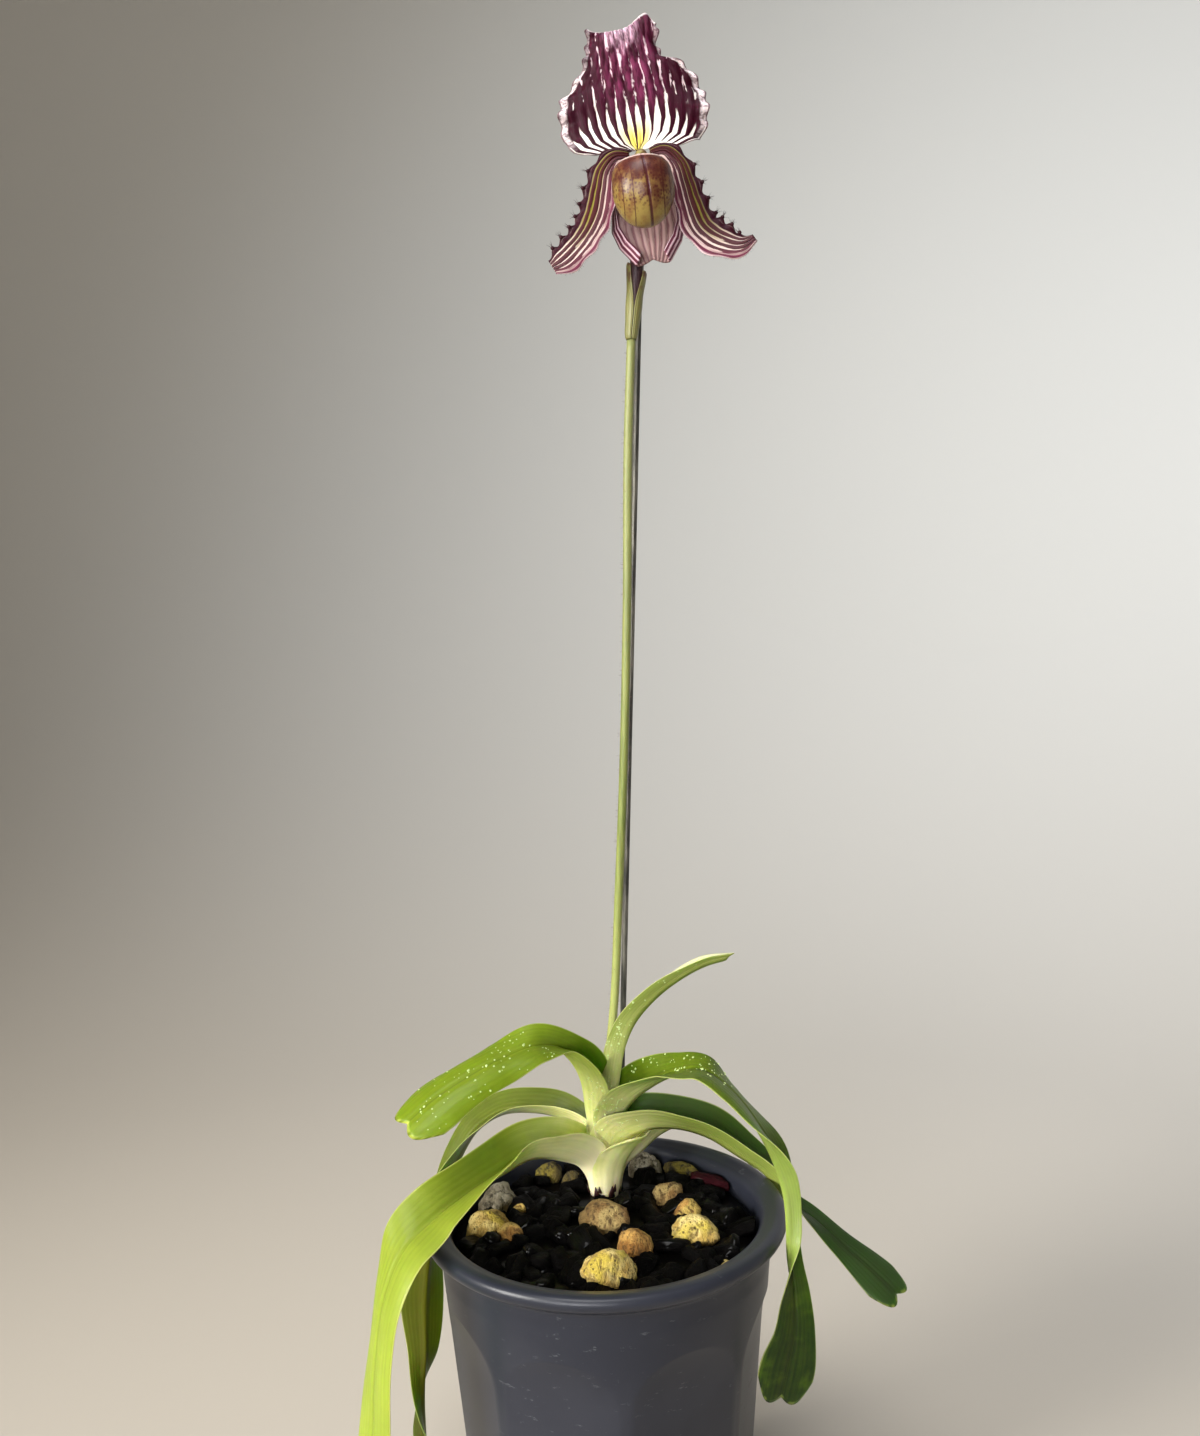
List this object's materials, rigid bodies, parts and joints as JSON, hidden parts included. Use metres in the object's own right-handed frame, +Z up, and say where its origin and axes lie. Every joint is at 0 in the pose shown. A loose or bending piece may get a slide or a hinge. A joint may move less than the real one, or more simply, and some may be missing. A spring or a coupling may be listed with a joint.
{
  "type": "potted slipper orchid",
  "caption": "Slipper orchid with strap leaves and one open pouched flower on a staked stem, in a tapered plastic pot of bark and pumice.",
  "frame": {"origin": "middle of the pot's foot, on the surface it stands on", "axes": "+Z up along the stem, -Y towards the viewer, +X to the viewer's right"},
  "size_m": [0.1665, 0.1285, 0.4733],
  "materials": {
    "pot_plastic": "satin dark slate",
    "wet_bark": "wet, dark and glossy in places",
    "cream_pumice": "rough and pitted",
    "orange_pumice": "rough and pitted",
    "tan_pumice": "rough and pitted",
    "grey_pumice": "rough and pitted",
    "olive_pumice": "rough and pitted",
    "crown_white": "smooth and moist",
    "leaf_green": "smooth and waxy",
    "stem_green": "downy",
    "stake_metal": "dull dark metal",
    "ovary_purple": "downy",
    "bract_green": "papery",
    "sepal_maroon": "veined, with a soft sheen",
    "pouch_olive": "waxy"
  },
  "bodies": {
    "root": {"bark_bed": "wet_bark", "bract": "bract_green", "crown": "crown_white", "dorsal_sepal": "sepal_maroon", "leaf_1": "leaf_green", "leaf_2": "leaf_green", "leaf_3": "leaf_green", "leaf_4": "leaf_green", "leaf_5": "leaf_green", "leaf_6": "leaf_green", "leaf_7": "leaf_green", "ovary": "ovary_purple", "petal_left": "sepal_maroon", "petal_right": "sepal_maroon", "pot": "pot_plastic", "pouch": "pouch_olive", "scape": "stem_green", "stake": "stake_metal", "staminode": "pouch_olive", "stone_01": "cream_pumice", "stone_02": "orange_pumice", "stone_03": "tan_pumice", "stone_04": "tan_pumice", "stone_05": "orange_pumice", "stone_06": "cream_pumice", "stone_07": "cream_pumice", "stone_08": "orange_pumice", "stone_09": "orange_pumice", "stone_10": "grey_pumice", "stone_11": "olive_pumice", "stone_12": "olive_pumice", "stone_13": "grey_pumice", "stone_14": "olive_pumice", "stone_15": "cream_pumice", "synsepal": "sepal_maroon"}
  },
  "joints": []
}
